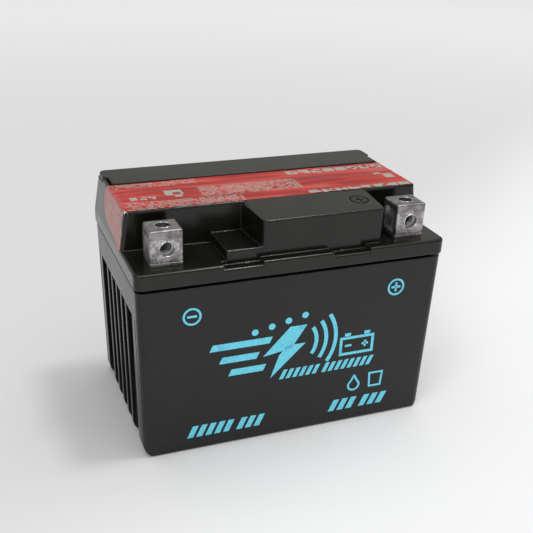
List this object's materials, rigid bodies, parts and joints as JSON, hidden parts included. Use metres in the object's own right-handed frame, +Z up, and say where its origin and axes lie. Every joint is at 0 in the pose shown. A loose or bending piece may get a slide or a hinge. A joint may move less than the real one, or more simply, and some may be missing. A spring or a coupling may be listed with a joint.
{
  "type": "motorcycle battery",
  "caption": "Sealed 12 volt motorcycle battery with a ribbed black case, stepped cover, box terminals, lift-off cap strip and red seal tape.",
  "frame": {"origin": "middle of the base", "axes": "+X along the row of six cells towards the positive terminal, -Y the front, +Z up"},
  "size_m": [0.1132, 0.07, 0.086],
  "materials": {
    "case_plastic": "moulded, fine satin grain",
    "cover_plastic": "moulded, smooth",
    "strip_plastic": "moulded, matte",
    "tape_film": "red printed film",
    "terminal_lead": "as cast, scuffed",
    "lead": "dull lead",
    "nut_steel": "bright plated",
    "rubber": "matte",
    "positive_paste": "brown pasted plate",
    "negative_paste": "grey pasted plate",
    "glass_mat": "white absorbent mat",
    "porous_disc": "porous"
  },
  "bodies": {
    "battery": {"case": "case_plastic", "cover": "cover_plastic", "seal_tape": "tape_film", "intercell_welds": "lead", "positive_plates_1": "positive_paste", "negative_plates_1": "negative_paste", "separators_1": "glass_mat", "positive_strap_1": "lead", "negative_strap_1": "lead", "positive_plates_2": "positive_paste", "negative_plates_2": "negative_paste", "separators_2": "glass_mat", "positive_strap_2": "lead", "negative_strap_2": "lead", "positive_plates_3": "positive_paste", "negative_plates_3": "negative_paste", "separators_3": "glass_mat", "positive_strap_3": "lead", "negative_strap_3": "lead", "positive_plates_4": "positive_paste", "negative_plates_4": "negative_paste", "separators_4": "glass_mat", "positive_strap_4": "lead", "negative_strap_4": "lead", "positive_plates_5": "positive_paste", "negative_plates_5": "negative_paste", "separators_5": "glass_mat", "positive_strap_5": "lead", "negative_strap_5": "lead", "positive_plates_6": "positive_paste", "negative_plates_6": "negative_paste", "separators_6": "glass_mat", "positive_strap_6": "lead", "negative_strap_6": "lead", "negative_terminal": "terminal_lead", "negative_o_ring": "rubber", "positive_terminal": "terminal_lead", "positive_o_ring": "rubber"},
    "strip": {"cap_strip": "strip_plastic", "flame_arrestors": "porous_disc", "vent_plug_1": "strip_plastic", "vent_plug_2": "strip_plastic", "vent_plug_3": "strip_plastic", "vent_plug_4": "strip_plastic", "vent_plug_5": "strip_plastic", "vent_plug_6": "strip_plastic"},
    "valve_1": {"safety_valve_1": "rubber"},
    "valve_2": {"safety_valve_2": "rubber"},
    "valve_3": {"safety_valve_3": "rubber"},
    "valve_4": {"safety_valve_4": "rubber"},
    "valve_5": {"safety_valve_5": "rubber"},
    "valve_6": {"safety_valve_6": "rubber"},
    "negative_nut": {"negative_nut": "nut_steel"},
    "positive_nut": {"positive_nut": "nut_steel"}
  },
  "joints": [
    {"name": "strip_lift", "type": "slide", "parent": "battery", "child": "strip", "axis": [0, 0, 1], "range_m": [0, 0.02]},
    {"name": "valve_1_lift", "type": "slide", "parent": "strip", "child": "valve_1", "axis": [0, 0, 1], "range_m": [0, 0.0008], "stiffness_N_per_m": 60},
    {"name": "valve_2_lift", "type": "slide", "parent": "strip", "child": "valve_2", "axis": [0, 0, 1], "range_m": [0, 0.0008], "stiffness_N_per_m": 60},
    {"name": "valve_3_lift", "type": "slide", "parent": "strip", "child": "valve_3", "axis": [0, 0, 1], "range_m": [0, 0.0008], "stiffness_N_per_m": 60},
    {"name": "valve_4_lift", "type": "slide", "parent": "strip", "child": "valve_4", "axis": [0, 0, 1], "range_m": [0, 0.0008], "stiffness_N_per_m": 60},
    {"name": "valve_5_lift", "type": "slide", "parent": "strip", "child": "valve_5", "axis": [0, 0, 1], "range_m": [0, 0.0008], "stiffness_N_per_m": 60},
    {"name": "valve_6_lift", "type": "slide", "parent": "strip", "child": "valve_6", "axis": [0, 0, 1], "range_m": [0, 0.0008], "stiffness_N_per_m": 60},
    {"name": "negative_nut_slide", "type": "slide", "parent": "battery", "child": "negative_nut", "axis": [1, 0, 0], "range_m": [0, 0.0105]},
    {"name": "positive_nut_slide", "type": "slide", "parent": "battery", "child": "positive_nut", "axis": [-1, 0, 0], "range_m": [0, 0.0055]}
  ]
}
